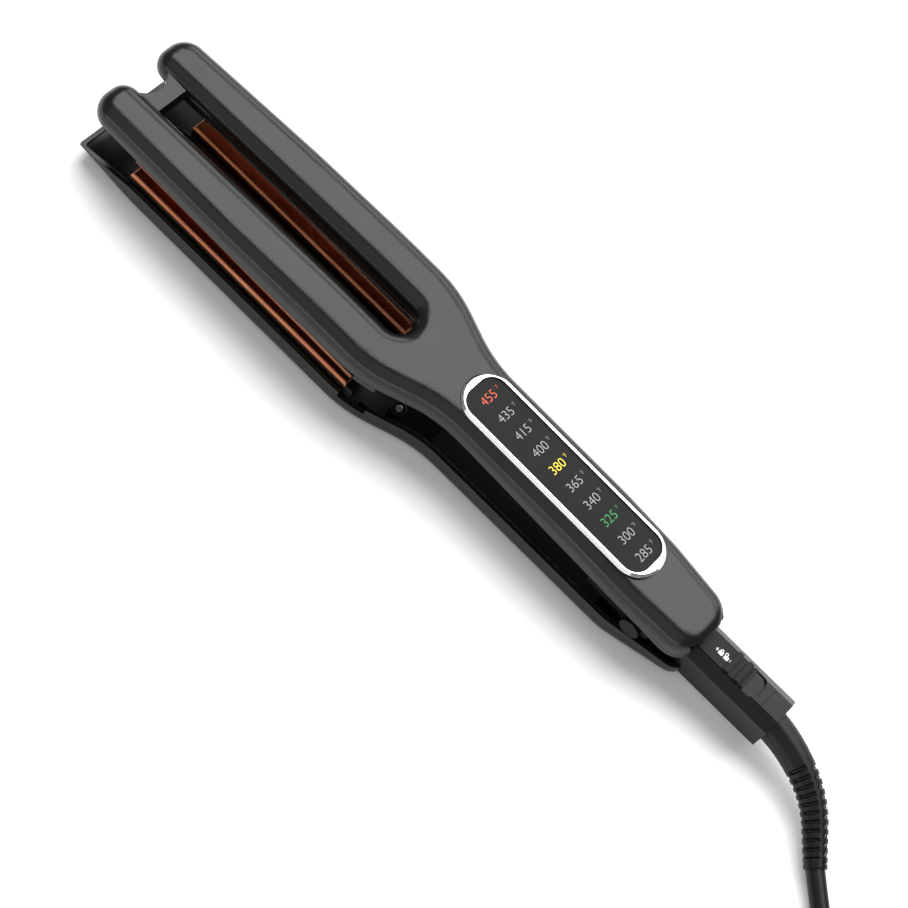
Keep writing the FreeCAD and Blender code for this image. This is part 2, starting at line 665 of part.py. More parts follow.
def upper_heater_frame():
    """The tray in the upper head that both upper carriers are fixed to."""
    body = new_body("upper_heater_frame")
    span = ("upper_frame_low", "upper_frame_top")
    box_slab(body, ("9.0", "21.5"), ("-17.5", "17.5"), span)
    for _, sign in sides():
        box_slab(body, ("21.0", "plate_front + 3.0"), across(sign, "9.6", "21.0"), span)


def thermal_fuse():
    """The cut-out that breaks the heater circuit when the head gets too hot."""
    body = new_body("thermal_fuse")
    slab(body, "YZ_Plane", "10.0", "20.0", draw_circle, "0.0", "28.3", "1.7")


def button_middle(number):
    """The X position of one push button."""
    return f"button_front - button_pitch * {number}"


def upper_liner():
    """The inner cover of the upper handle, with an opening for each push button."""
    body = new_body("upper_liner")
    span = ("upper_liner_low", "upper_liner_top")
    box_slab(body, ("-92.0", "-8.0"), ("-12.4", "12.4"), span)
    long, wide = "(button_long * 0.5 + button_gap)", "(button_wide * 0.5 + button_gap)"
    for number in range(3):
        middle = button_middle(number)
        box_hollow(body, (f"{middle} - {long}", f"{middle} + {long}"), (f"-({wide})", wide), span)
    for x in ("-87.5", "-13.0"):
        hollow(body, "XY_Plane", *span, draw_circle, x, "0.0", "screw_radius + 0.1")
        hollow(body, "XY_Plane", "upper_liner_low", "upper_liner_low + 1.2",
               draw_circle, x, "0.0", "head_radius")


def push_button(number, name):
    """One push button with the flange that keeps it behind the liner."""
    body = new_body(name)
    middle = button_middle(number)
    long, wide = "button_long * 0.5", "button_wide * 0.5"
    box_slab(body, (f"{middle} - {long}", f"{middle} + {long}"), (f"-{wide}", wide),
             ("button_low", "button_flange"))
    flange = ("button_flange", "button_top")
    box_slab(body, (f"{middle} - {long} - 1.0", f"{middle} + {long} + 1.0"),
             (f"-{wide} - 1.0", f"{wide} + 1.0"), flange)


def switch_board():
    """The small board above the push buttons with its three switches."""
    body = new_body("switch_board")
    box_slab(body, ("-82.0", "-36.0"), ("-10.5", "10.5"), ("switch_board_low", "switch_board_low + 1.2"))
    for number in range(3):
        middle = button_middle(number)
        box_slab(body, (f"{middle} - 2.5", f"{middle} + 2.5"), ("-2.5", "2.5"),
                 ("switch_low", "switch_board_low + 0.5"))


def hinge_bracket():
    """The yoke of the upper arm: two ears that turn on the pin and a bridge over the tail."""
    body = new_body("hinge_bracket")
    ear = [("-110.0", "13.0"), ("-99.0", "13.0"), ("-99.0", "14.2"), ("-82.0", "14.2"), ("-82.0", "18.4"),
           ("-97.0", "19.6"), ("-97.0", "27.5"), ("-112.0", "27.5"), ("-112.0", "15.0")]
    for _, sign in sides():
        slab(body, "XZ_Plane", *across(sign, "ear_inner", "ear_inner + ear_thick"), draw_polygon, ear)
    reach = "ear_inner + ear_thick"
    box_slab(body, ("-112.0", "-97.0"), (f"-({reach})", reach), ("27.4", "29.2"))
    whole = (f"-({reach})", reach)
    hollow(body, "XZ_Plane", *whole, draw_circle, "hinge_x", "hinge_z", "bush_radius")
    for name, sign in sides():
        bush = new_body(f"hinge_bush_{name}")
        pair = across(sign, "ear_inner", reach)
        slab(bush, "XZ_Plane", *pair, draw_circle, "hinge_x", "hinge_z", "bush_radius")
        hollow(bush, "XZ_Plane", *pair, draw_circle, "hinge_x", "hinge_z", "pin_radius + pin_clear")


def upper_screws():
    """The two screws that hold the upper liner."""
    screws = []
    for number, x in enumerate(("-87.5", "-13.0")):
        head = primitive_rod(f"upper_head_{number}", (x, "0.0", "upper_liner_low"),
                             "head_radius - 0.1", "1.1")
        shank = primitive_rod(f"upper_shank_{number}", (x, "0.0", "upper_liner_low"), "screw_radius", "5.0")
        screw = doc.addObject("Part::Fuse", f"upper_screw_{number}")
        screw.Base = head
        screw.Tool = shank
        screws.append(screw)
    joined("upper_screws", "Part::Compound", screws)


def display():
    """The bright ring, the dark touch window in it and the board behind."""
    rear, front, half = size("bezel_rear"), size("bezel_front"), size("bezel_half")
    ring = size("bezel_ring")
    low, top = size("seat_floor"), size("bezel_top")
    outer = stadium(rear + 0.1, front - 0.1, half - 0.1, low, top)
    flat = [edge for edge in outer.Edges if edge.BoundBox.ZLength < 1e-6]
    rim = [edge for edge in flat if abs(edge.BoundBox.ZMin - top) < 1e-6]
    outer = outer.makeChamfer(size("bezel_slope"), rim)
    end, corner = size("bezel_end"), size("window_round")
    opening = mirrored([(front - end, half - ring, corner), (rear + end, half - ring, corner)])
    shaped("display_bezel", outer.cut(plan_prism(opening, low - 1, top + 1)))
    shaped("display_window", plan_prism(opening, low, size("window_top")))
    board = new_body("display_board")
    wide = "board_wide * 0.5"
    box_slab(board, ("bezel_rear + 8.0", "bezel_front - 8.0"), (f"-{wide}", wide), ("31.2", "32.8"))


def open_upper_arm(names):
    """Turn the pieces of the upper arm about the hinge to the angle at which the iron rests."""
    angle = "rest_open * 1deg"
    across_x = f"hinge_x - hinge_x * cos({angle}) + hinge_z * sin({angle})"
    across_z = f"hinge_z - hinge_x * sin({angle}) - hinge_z * cos({angle})"
    for item in subparts:
        if item.Label in names:
            item.Placement = FreeCAD.Placement(V(), FreeCAD.Rotation(V(0, -1, 0), size("rest_open")))
            item.setExpression("Placement.Rotation.Angle", cells(angle))
            item.setExpression("Placement.Base.x", cells(across_x))
            item.setExpression("Placement.Base.z", cells(across_z))


# ---- cord ----------------------------------------------------------------------------------------

RELIEF_ROUTE = [
    (-164.0, 0.0, 13.5), (-166.5, 0.1, 13.45), (-174.2, 1.3, 13.0), (-182.1, 3.4, 12.0), (-190.4, 6.6, 10.4),
    (-197.6, 11.5, 8.8), (-203.8, 18.0, 7.2), (-210.5, 25.2, 5.8),
]
LEAD_ROUTE = [
    (-210.5, 25.2, 5.8), (-222.6, 36.4, 4.9), (-237.0, 47.2, 4.4), (-253.5, 55.9, 4.4), (-270.0, 61.6, 4.7),
]


def strain_relief():
    """The tapered boot that carries the cord out of the end cap and down to the surface."""
    curve = Part.BSplineCurve()
    curve.interpolate([V(*point) for point in RELIEF_ROUTE])
    sections = 12
    rings = []
    for number in range(sections + 1):
        share = number / sections
        place = curve.FirstParameter + share * (curve.LastParameter - curve.FirstParameter)
        radius = (size("relief_base") * (1 - share) + size("relief_tip") * share) / 2
        tangent = curve.tangent(place)[0]
        rings.append(Part.Wire(Part.Circle(curve.value(place), tangent, radius).toShape()))
    shaped("strain_relief", Part.makeLoft(rings, True))


def cord_lead():
    """The free cord between strain relief and coil: straight runs joined by tangent arcs."""
    points = [V(*point) for point in LEAD_ROUTE]
    edges = []
    start = points[0]
    for before, corner, after in zip(points, points[1:], points[2:]):
        back, ahead = (before - corner), (after - corner)
        turn = math.pi - back.getAngle(ahead)
        reach = 0.45 * min(back.Length, ahead.Length)
        radius = reach / math.tan(turn / 2)
        print(f"cord_lead: turn {math.degrees(turn):.1f} degrees, radius {radius:.0f} mm")
        entry, leave = corner + back.normalize() * reach, corner + ahead.normalize() * reach
        bisector = (back + ahead).normalize()
        middle = corner + bisector * (radius / math.cos(turn / 2) - radius)
        edges.append(Part.LineSegment(start, entry).toShape())
        edges.append(Part.Arc(entry, middle, leave).toShape())
        start = leave
    edges.append(Part.LineSegment(start, points[-1]).toShape())
    path = Part.Wire(edges)
    section = Part.Wire(Part.Circle(points[0], points[1] - points[0], size("cord_dia") / 2).toShape())
    tube = path.makePipeShell([section], True, False)
    wanted = math.pi * size("cord_dia") ** 2 / 4 * path.Length
    print(f"cord_lead: {path.Length:.1f} mm long, volume {tube.Volume / wanted:.4f} of section times length")
    shaped("cord_lead", tube)


def ring_wall(inner, outer, low, high):
    """An upright ring about the coil's axis."""
    foot = V(size("coil_x"), size("coil_y"), low)
    return Part.makeCylinder(outer, high - low, foot).cut(Part.makeCylinder(inner, high - low, foot))


def about_coil(shape, angle):
    """A shape drawn along +X of the coil's middle, turned to its place round the coil."""
    shape.rotate(V(), V(0, 0, 1), angle)
    shape.translate(V(size("coil_x"), size("coil_y"), 0))
    return shape


def coil_and_plug():
    """The wound cord as one ring, the strap that ties it, and the plug that lies on top."""
    middle, cord, tie = size("coil_mid_radius"), size("cord_dia"), size("tie_thick")
    low = tie + 0.2
    top = low + size("coil_layers") * cord
    shaped("cord_coil", ring_wall(middle - cord, middle + cord, low, top))

    half = size("tie_wide") / 2
    reach = cord + 0.5
    outer = plain_box((middle - reach - tie, middle + reach + tie), (-half, half), (0.05, top + tie + 0.1))
    inner = plain_box((middle - reach, middle + reach), (-half - 1, half + 1), (tie + 0.1, top + 0.1))
    shaped("cord_tie", about_coil(outer.cut(inner), size("tie_angle")))

    out, thick = size("plug_radius"), size("plug_thick")
    long, wide = size("plug_long") / 2, size("plug_wide") / 2
    shell = plain_box((out - wide, out + wide), (-long, long), (top + 0.1, top + 0.1 + thick))
    shell = shell.makeFillet(size("plug_round"), shell.Edges)
    shaped("plug_body", about_coil(shell, size("plug_angle")))
    pins = []
    for _, sign in sides():
        near = out + sign * size("blade_pitch") / 2
        span = (near - size("blade_thick") / 2, near + size("blade_thick") / 2)
        height = top + 0.1 + thick / 2
        rise = (height - size("blade_wide") / 2, height + size("blade_wide") / 2)
        pins.append(about_coil(plain_box(span, (long, long + size("blade_long")), rise), size("plug_angle")))
    shaped("plug_blades", Part.makeCompound(pins))


# ---- assembly ------------------------------------------------------------------------------------

def build():
    """Make every sub-part, check each one and write it to its own file."""
    lower_housing()
    lower_heater_frame()
    for side, sign in sides():
        lower_plate_unit(side, sign)
        lower_cushions(side, sign)
    lower_liner()
    control_board()
    tail_half_shell("tail_bottom", False)
    tail_half_shell("tail_top", True)
    hinge_pin()
    hinge_spring()
    swivel_barrel()
    end_cap()
    lock_slider()
    lock_spring()
    lower_screws()
    fixed = {item.Label for item in subparts}
    upper_housing()
    upper_heater_frame()
    for side, sign in sides():
        upper_plate_unit(side, sign)
    thermal_fuse()
    upper_liner()
    for number, name in enumerate(("power_button", "raise_button", "lower_button")):
        push_button(number, name)
    switch_board()
    hinge_bracket()
    upper_screws()
    display()
    open_upper_arm({item.Label for item in subparts} - fixed)
    strain_relief()
    cord_lead()
    coil_and_plug()
    doc.recompute()
    check_objects()
    os.makedirs("parts", exist_ok=True)
    for item in subparts:
        item.Shape.exportStep(f"parts/{item.Label}.step")
    print(f"{len(subparts)} sub-parts written")


def check_objects():
    """Stop before anything is written if an object failed or a sub-part has no sound shape."""
    for item in doc.Objects:
        if {"Invalid", "Error"} & set(item.State):
            raise RuntimeError(f"{item.Name} is {item.State}")
    for item in subparts:
        if item.Shape.isNull() or not item.Shape.isValid() or item.Shape.Volume < 1.0:
            raise RuntimeError(f"{item.Label} has no sound shape")


build()
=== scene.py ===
import json
import math

import bmesh
import bpy
from mathutils import Matrix, Vector


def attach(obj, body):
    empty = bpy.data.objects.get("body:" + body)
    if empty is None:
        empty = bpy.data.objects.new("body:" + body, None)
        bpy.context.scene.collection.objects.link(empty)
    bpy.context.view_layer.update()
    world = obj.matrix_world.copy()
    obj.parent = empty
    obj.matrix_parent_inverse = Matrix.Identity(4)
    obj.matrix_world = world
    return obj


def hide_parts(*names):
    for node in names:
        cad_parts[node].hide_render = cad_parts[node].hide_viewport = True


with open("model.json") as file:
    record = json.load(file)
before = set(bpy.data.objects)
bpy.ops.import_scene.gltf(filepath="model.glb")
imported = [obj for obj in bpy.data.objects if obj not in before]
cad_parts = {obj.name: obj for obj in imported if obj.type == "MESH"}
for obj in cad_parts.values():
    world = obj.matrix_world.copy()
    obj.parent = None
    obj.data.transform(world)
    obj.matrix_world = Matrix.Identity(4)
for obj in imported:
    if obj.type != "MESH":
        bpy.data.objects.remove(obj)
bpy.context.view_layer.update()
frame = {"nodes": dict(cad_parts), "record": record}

MM = 0.001
NODES = frame["nodes"]


def mm(*values):
    """A point given in millimetres, in metres."""
    return Vector(values) * MM


# ---------------------------------------------------------------- camera
def add_camera():
    """The photograph's viewing angle, as the camera's three axes and its place in the frame."""
    data = bpy.data.cameras.new("camera")
    data.lens, data.sensor_width = 96.07, 36.0
    data.clip_start, data.clip_end = 0.05, 20.0
    camera = bpy.data.objects.new("camera", data)
    right = Vector((-0.7088, -0.6585, 0.2533))
    up = Vector((0.6965, -0.5962, 0.3996))
    forward = Vector((0.112, -0.4596, -0.881))
    place = Vector((-0.1142, 0.4131, 0.7822))
    turn = Matrix((right, up, -forward)).transposed()
    camera.matrix_world = Matrix.Translation(place) @ turn.to_4x4()
    bpy.context.scene.collection.objects.link(camera)
    bpy.context.scene.camera = camera


add_camera()

# ---------------------------------------------------------------- materials
SHADER = "Principled BSDF"


def material(name, colour, rough, metallic=0.0, **sockets):
    """A node material whose uniform values sit on the shader's own sockets."""
    made = bpy.data.materials.new(name)
    made.use_nodes = True
    shader = made.node_tree.nodes[SHADER]
    shader.inputs["Base Color"].default_value = (*colour, 1.0)
    shader.inputs["Roughness"].default_value = rough
    shader.inputs["Metallic"].default_value = metallic
    for socket, value in sockets.items():
        shader.inputs[socket.replace("_", " ")].default_value = value
    return made


class Nodes:
    """Short names for adding and joining a material's nodes."""

    def __init__(self, made):
        self.tree = made.node_tree
        self.shader = self.tree.nodes[SHADER]

    def add(self, kind, **values):
        """A node whose named values go to its inputs, or else to its own settings."""
        node = self.tree.nodes.new(kind)
        for name, value in values.items():
            if name in node.inputs:
                node.inputs[name].default_value = value
            else:
                setattr(node, name, value)
        return node

    def join(self, out, into):
        self.tree.links.new(out, into)

    def place(self, stretch=(1.0, 1.0, 1.0)):
        """Object coordinates, so that a pattern keeps its true size on every piece."""
        where = self.add("ShaderNodeTexCoord").outputs["Object"]
        scaled = self.add("ShaderNodeMapping")
        scaled.inputs["Scale"].default_value = stretch
        self.join(where, scaled.inputs["Vector"])
        return scaled.outputs["Vector"]

    def noise(self, size_mm, detail=3.0, stretch=(1.0, 1.0, 1.0)):
        node = self.add("ShaderNodeTexNoise", Scale=1000.0 / size_mm, Detail=detail, Roughness=0.55)
        self.join(self.place(stretch), node.inputs["Vector"])
        return node.outputs["Fac"]

    def ranged(self, value, low, high, start=0.3, end=0.7):
        """The span from start to end of a value, laid over the span from low to high."""
        node = self.add("ShaderNodeMapRange")
        for socket, number in zip(("From Min", "From Max", "To Min", "To Max"), (start, end, low, high)):
            node.inputs[socket].default_value = number
        self.join(value, node.inputs["Value"])
        return node.outputs["Result"]

    def mixed(self, factor, first, second):
        """Two colours, given as tuples or as outputs, mixed by a factor."""
        node = self.add("ShaderNodeMix", data_type="RGBA")
        self.join(factor, node.inputs[0])
        for socket, colour in ((node.inputs[6], first), (node.inputs[7], second)):
            if isinstance(colour, tuple):
                socket.default_value = (*colour, 1.0)
            else:
                self.join(colour, socket)
        return node.outputs[2]

    def edges(self, radius_mm, reach=0.06):
        """A rounded normal for the edges, and a mask of 1 on them."""
        bevel = self.add("ShaderNodeBevel", samples=6, Radius=radius_mm * MM)
        shape = self.add("ShaderNodeNewGeometry").outputs["Normal"]
        dot = self.add("ShaderNodeVectorMath", operation="DOT_PRODUCT")
        self.join(bevel.outputs["Normal"], dot.inputs[0])
        self.join(shape, dot.inputs[1])
        mask = self.ranged(dot.outputs["Value"], 1.0, 0.0, 1.0 - reach, 1.0)
        return bevel.outputs["Normal"], mask

    def bump(self, heights, normal=None):
        """Bumps stacked from (height output, depth in mm, strength)."""
        for height, depth_mm, strength in heights:
            node = self.add("ShaderNodeBump", Strength=strength, Distance=depth_mm * MM)
            self.join(height, node.inputs["Height"])
            if normal is not None:
                self.join(normal, node.inputs["Normal"])
            normal = node.outputs["Normal"]
        self.join(normal, self.shader.inputs["Normal"])


def moulded(name, colour, rough, grain_mm=0.5, depth_mm=0.01, edge_mm=0.35, wear=0.25, **sockets):
    """Moulded plastic: fine grain, broad unevenness, faintly rubbed edges."""
    made = material(name, colour, rough, **sockets)
    n = Nodes(made)
    normal, edge = n.edges(edge_mm)
    fine = n.noise(grain_mm, 4.0)
    broad = n.noise(38.0, 2.0)
    smear = n.noise(9.0, 5.0, (0.35, 1.0, 1.0))
    rubbed = n.add("ShaderNodeMath", operation="MULTIPLY", use_clamp=True)
    n.join(edge, rubbed.inputs[0])
    n.join(n.ranged(n.noise(4.0, 5.0), 0.15, wear * 2.0), rubbed.inputs[1])
    dark = tuple(0.85 * c for c in colour)
    light = tuple(1.15 * c + 0.001 for c in colour)
    worn = tuple(2.2 * c + 0.03 for c in colour)
    body = n.mixed(n.ranged(broad, 0.0, 1.0), dark, light)
    n.join(n.mixed(rubbed.outputs[0], body, worn), n.shader.inputs["Base Color"])
    n.join(n.ranged(smear, rough * 0.88, rough * 1.14), n.shader.inputs["Roughness"])
    n.bump([(broad, 0.05, 0.06), (fine, depth_mm, 0.35)], normal)
    return made


FLOOR_FADE = (6.4 * MM, 7.0 * MM)
FLOOR_GLOSS = 0.04


def with_dull_floor(made, gloss):
    """Takes the gloss off the low faces that point up: the inside floor of the lower shell."""
    n = Nodes(made)
    face = n.add("ShaderNodeNewGeometry")
    place, aim = n.add("ShaderNodeSeparateXYZ"), n.add("ShaderNodeSeparateXYZ")
    n.join(face.outputs["Position"], place.inputs[0])
    n.join(face.outputs["True Normal"], aim.inputs[0])
    inside = n.add("ShaderNodeMath", operation="MULTIPLY")
    n.join(n.ranged(place.outputs["Z"], 1.0, 0.0, *FLOOR_FADE), inside.inputs[0])
    n.join(n.ranged(aim.outputs["Z"], 0.0, 1.0, 0.4, 0.7), inside.inputs[1])
    n.join(n.ranged(inside.outputs[0], gloss, FLOOR_GLOSS, 0.0, 1.0), n.shader.inputs["Specular IOR Level"])
    return made


def metal(name, colour, rough, stretch=(0.02, 1.0, 1.0), line_mm=0.25, edge_mm=0.3, tint=None, **sockets):
    """Metal with brushed lines along X and uneven polish."""
    made = material(name, colour, rough, metallic=1.0, **sockets)
    n = Nodes(made)
    normal, edge = n.edges(edge_mm)
    lines = n.noise(line_mm, 3.0, stretch)
    broad = n.noise(24.0, 3.0)
    tint = tint or tuple(0.72 * c for c in colour)
    body = n.mixed(n.ranged(broad, 0.0, 1.0), tint, colour)
    worn = tuple(min(1.0, 1.3 * c + 0.02) for c in colour)
    n.join(n.mixed(edge, body, worn), n.shader.inputs["Base Color"])
    n.join(n.ranged(lines, rough * 0.8, rough * 1.3), n.shader.inputs["Roughness"])
    n.bump([(lines, 0.006, 0.25)], normal)
    return made


def speckled(name, colour, second, rough, size_mm, edge_mm=0.15, **sockets):
    """A sintered or resin face: two close tones in a fine speckle."""
    made = material(name, colour, rough, **sockets)
    n = Nodes(made)
    normal, _ = n.edges(edge_mm)
    grain = n.noise(size_mm, 6.0)
    n.join(n.mixed(n.ranged(grain, 0.0, 1.0, 0.4, 0.6), colour, second), n.shader.inputs["Base Color"])
    n.join(n.ranged(n.noise(size_mm * 6.0), rough * 0.85, rough * 1.15), n.shader.inputs["Roughness"])
    n.bump([(grain, 0.02, 0.3)], normal)
    return made


# What moulded() takes after the name, for both shells.
SHELL = ((0.0046, 0.0060, 0.0052), 0.24, 0.45, 0.004, 0.4, 0.1)
SHELL_GLOSS = 0.3
LOOKS = {
    "housing_grey": moulded("satin_charcoal", *SHELL, Specular_IOR_Level=SHELL_GLOSS),
    "lower_grey": with_dull_floor(moulded("satin_charcoal_lower", *SHELL), SHELL_GLOSS),
    # The tail look: a darker, less glossy copy of the shell look, painted shade for the tail's dark facets.
    "tail_black": moulded("tail_painted_shade_black", (0.0038, 0.0042, 0.004), 0.27, 0.5, 0.006, 0.35, 0.08,
                          Specular_IOR_Level=0.16),
    "inner_black": moulded("grained_black", (0.0035, 0.0035, 0.0035), 0.42, 0.6, 0.012, 0.25, 0.06,
                           Specular_IOR_Level=0.14),
    "heat_black": moulded("heat_black", (0.004, 0.004, 0.0045), 0.4, 0.5, 0.012, 0.25, 0.06,
                          Specular_IOR_Level=0.12),
    "copper": metal("copper_plate", (0.40, 0.165, 0.09), 0.27, tint=(0.28, 0.10, 0.05)),
    "ceramic": speckled("heater_ceramic", (0.68, 0.66, 0.60), (0.55, 0.53, 0.48), 0.6, 0.7),
    "silicone": speckled("silicone_pad", (0.42, 0.07, 0.03), (0.34, 0.05, 0.02), 0.5, 0.8),
    "board_green": speckled("board_resin", (0.012, 0.09, 0.032), (0.02, 0.13, 0.05), 0.32, 1.4),
    "steel": metal("plated_steel", (0.52, 0.52, 0.51), 0.3),
    "bush_grey": speckled("nylon_bush", (0.20, 0.20, 0.19), (0.16, 0.16, 0.155), 0.45, 0.6),
    "chrome": metal("chrome_trim", (0.88, 0.88, 0.87), 0.07, (1.0, 1.0, 1.0), 1.5, 0.2,
                    tint=(0.80, 0.80, 0.80)),
    "window_black": moulded("display_panel", (0.011, 0.011, 0.0115), 0.3, 0.5, 0.002, 0.15, 0.03,
                            Specular_IOR_Level=0.06),
    "cord_black": moulded("cord_rubber", (0.0038, 0.0038, 0.0039), 0.36, 0.5, 0.015, 0.2, 0.08,
                          Specular_IOR_Level=0.2),
}


def dress(piece, made):
    """Gives a piece one material in every slot."""
    if not piece.data.materials:
        piece.data.materials.append(made)
    for index in range(len(piece.data.materials)):
        piece.data.materials[index] = made


def dress_frame():
    """Every CAD piece gets the look of its slot, apart from the tail, which gets a darker, less glossy copy
    of the shell look as painted shade, and the lower shell.
    """
    for entry in frame["record"]["subparts"]:
        dress(NODES[entry["node"]], LOOKS[entry["material_slot"]])
    # Painted shade: the tail pieces get the darker, duller tail look.
    for name in ("tail_top", "tail_bottom", "end_cap"):
        dress(NODES[name], LOOKS["tail_black"])
    dress(NODES["lower_housing"], LOOKS["lower_grey"])


dress_frame()


# ---------------------------------------------------------------- pieces
def link(name, data, made, body):
    """A piece in the scene, dressed and riding on a body."""
    piece = bpy.data.objects.new(name, data)
    bpy.context.scene.collection.objects.link(piece)
    dress(piece, made)
    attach(piece, body)
    return piece


def finish_mesh(work, name, made, body, move=None):
    """A piece from a finished bmesh, moved first if asked."""
    mesh = bpy.data.meshes.new(name)
    if move is not None:
        work.transform(move)
    work.to_mesh(mesh)
    work.free()
    return link(name, mesh, made, body)


def route_line(points, per_span):
    """The smooth line of a route: its NURBS spline, read back as points."""
    data = bpy.data.curves.new("route", "CURVE")
    data.dimensions = "3D"
    data.resolution_u = per_span
    fill_spline(data, points)
    holder = bpy.data.objects.new("route", data)
    mesh = bpy.data.meshes.new_from_object(holder)
    line = [v.co.copy() for v in mesh.vertices]
    bpy.data.objects.remove(holder)
    return line


def fill_spline(data, points):
    """A smooth clamped spline through the run of its control points."""
    spline = data.splines.new("NURBS")
    spline.points.add(len(points) - 1)
    for point, place in zip(spline.points, points):
        point.co = (*place, 1.0)
    spline.order_u = 3
    spline.use_endpoint_u = True


def frames_along(line):
    """Each point of a line with its direction and a side that never twists."""
    side = None
    for i, point in enumerate(line):
        ahead = (line[min(i + 1, len(line) - 1)] - line[max(i - 1, 0)]).normalized()
        side = ahead.orthogonal() if side is None else side - side.dot(ahead) * ahead
        side.normalize()
        yield point, ahead, side


# ---------------------------------------------------------------- mains cord
CORD_WIDE = 7.0
CORD_START = (-210.5, 25.2, 5.8)
LEAD = (CORD_START, (-222.6, 36.4, 4.6), (-237.0, 47.2, 3.8), (-253.5, 55.9, 3.7), (-270.0, 61.6, 3.7),
        (-286.0, 65.0, 3.7))
# Each turn's radius and layer, in the order in which they are wound from the lead.
COIL_TURNS = ((45.5, 0), (38.5, 0), (38.5, 1), (45.5, 1), (45.5, 2), (38.5, 2))
COIL_CENTRE = (-293.0, 20.0)
COIL_START = 81.2
COIL_LOW = 3.7
TURN_POINTS = 18
CHANGE_SHARE = 12.0
TIE_ANGLE = 300.0
TIE_REACH = 22.0
TIE_LIFT = 1.0
# From the end of the last turn up to the plug: angle, radius and height, then plain points.
COIL_END = ((84.7, 39.3, 18.3), (95.7, 40.0, 20.6), (106.7, 41.0, 23.6), (117.7, 42.2, 26.0))
TO_PLUG = ((-320.0, 53.0, 27.9), (-326.0, 49.4, 29.2), (-330.6, 44.0, 29.7), (-333.0, 37.4, 29.8),
           (-333.0, 34.0, 29.8))


def on_coil(angle, radius, height):
    """A point round the coil's centre, from degrees and millimetres."""
    turn = math.radians(angle)
    return mm(COIL_CENTRE[0] + radius * math.cos(turn), COIL_CENTRE[1] + radius * math.sin(turn), height)


def coil_height(angle, layer):
    """The height of the cord's middle: raised a little where it passes over the tie."""
    from_tie = abs((angle - TIE_ANGLE + 180.0) % 360.0 - 180.0)
    return COIL_LOW + (TIE_LIFT if from_tie < TIE_REACH else 0.0) + CORD_WIDE * layer


def cord_points():
    """The lead, the turns of the coil and the end that rises to the plug."""
    points = [mm(*p) for p in LEAD]
    pull = 1.0 / math.cos(math.pi / TURN_POINTS)
    for turn, (radius, layer) in enumerate(COIL_TURNS):
        old_radius, old_layer = COIL_TURNS[max(turn - 1, 0)]
        for step in range(0 if turn else 1, TURN_POINTS):
            share = step / TURN_POINTS
            rise = min(1.0, share * CHANGE_SHARE)
            shift = min(1.0, max(0.0, share * CHANGE_SHARE - 1.0))
            angle = COIL_START + 360.0 * (turn + share)
            height = coil_height(angle, old_layer + (layer - old_layer) * rise)
            points.append(on_coil(angle, (old_radius + (radius - old_radius) * shift) * pull, height))
    return points + [on_coil(*p) for p in COIL_END] + [mm(*p) for p in TO_PLUG]


def add_cord():
    data = bpy.data.curves.new("mains_cord", "CURVE")
    data.dimensions = "3D"
    data.resolution_u = 10
    data.bevel_depth = CORD_WIDE / 2 * MM
    data.bevel_resolution = 6
    data.use_fill_caps = True
    fill_spline(data, cord_points())
    return link("mains_cord", data, LOOKS["cord_black"], "lower_arm")


SLEEVE_ROUTE = ((-163.0, 0, 13.5), (-166.5, 0.1, 13.45), (-174.2, 1.3, 13.0), (-182.1, 3.4, 12.0),
                (-190.4, 6.6, 10.4), (-197.6, 11.5, 8.8), (-203.8, 18.0, 7.2), CORD_START)
SLEEVE_SIDES = 72
SLEEVE_RADII = (6.45, 4.3)
SLEEVE_TIP = 0.93
SMOOTH_LONG = 18.5 * MM
SLOT_PITCH = 3.3 * MM
SLOT_ROWS = 12
SLOT_SECTORS = 4.0
SLOT_TURN = 0.5
SLOT_BRIDGE = 0.07
SLOT_DEEP = 1.0 * MM
CORE_RADIUS = 3.6 * MM
PLAIN_END = 1.4 * MM


def sleeve_rows(whole, slots):
    """Distances along the sleeve of its rings of points: few where it is smooth, many over the slots."""
    rows = [SMOOTH_LONG * k / 5 for k in range(5)]
    rows += [SMOOTH_LONG + SLOT_PITCH * k / SLOT_ROWS for k in range(slots * SLOT_ROWS + 1)]
    return rows + [whole - 0.5 * MM, whole - 0.15 * MM, whole]


def slot_cut(distance, turn, slots):
    """How deep a slot is, from 0 to 1, at a place on the sleeve. Odd sectors lie half a pitch on."""
    sector, local = divmod((turn / (math.pi / 2.0) + SLOT_TURN) % SLOT_SECTORS, 1.0)
    phase = (distance - SMOOTH_LONG) / SLOT_PITCH - 0.5 * (sector % 2)
    if not (0.0 <= phase < slots - 0.5 and SLOT_BRIDGE < local < 1.0 - SLOT_BRIDGE):
        return 0.0
    return min(1.0, max(0.0, (0.5 - abs(phase % 1.0 - 0.5) - 0.25) * 8.0))


def sleeve_ring(work, place, distance, whole, slots):
    """One ring of points round the sleeve's middle line."""
    point, ahead, side = place
    up = ahead.cross(side)
    first, last = SLEEVE_RADII
    outer = (first + (last - first) * distance / whole) * MM
    if distance == whole:
        outer *= SLEEVE_TIP
    ring = []
    for a in range(SLEEVE_SIDES):
        turn = 2.0 * math.pi * a / SLEEVE_SIDES
        radius = outer - slot_cut(distance, turn, slots) * min(SLOT_DEEP, outer - CORE_RADIUS)
        ring.append(work.verts.new(point + radius * (math.cos(turn) * side + math.sin(turn) * up)))
    return ring


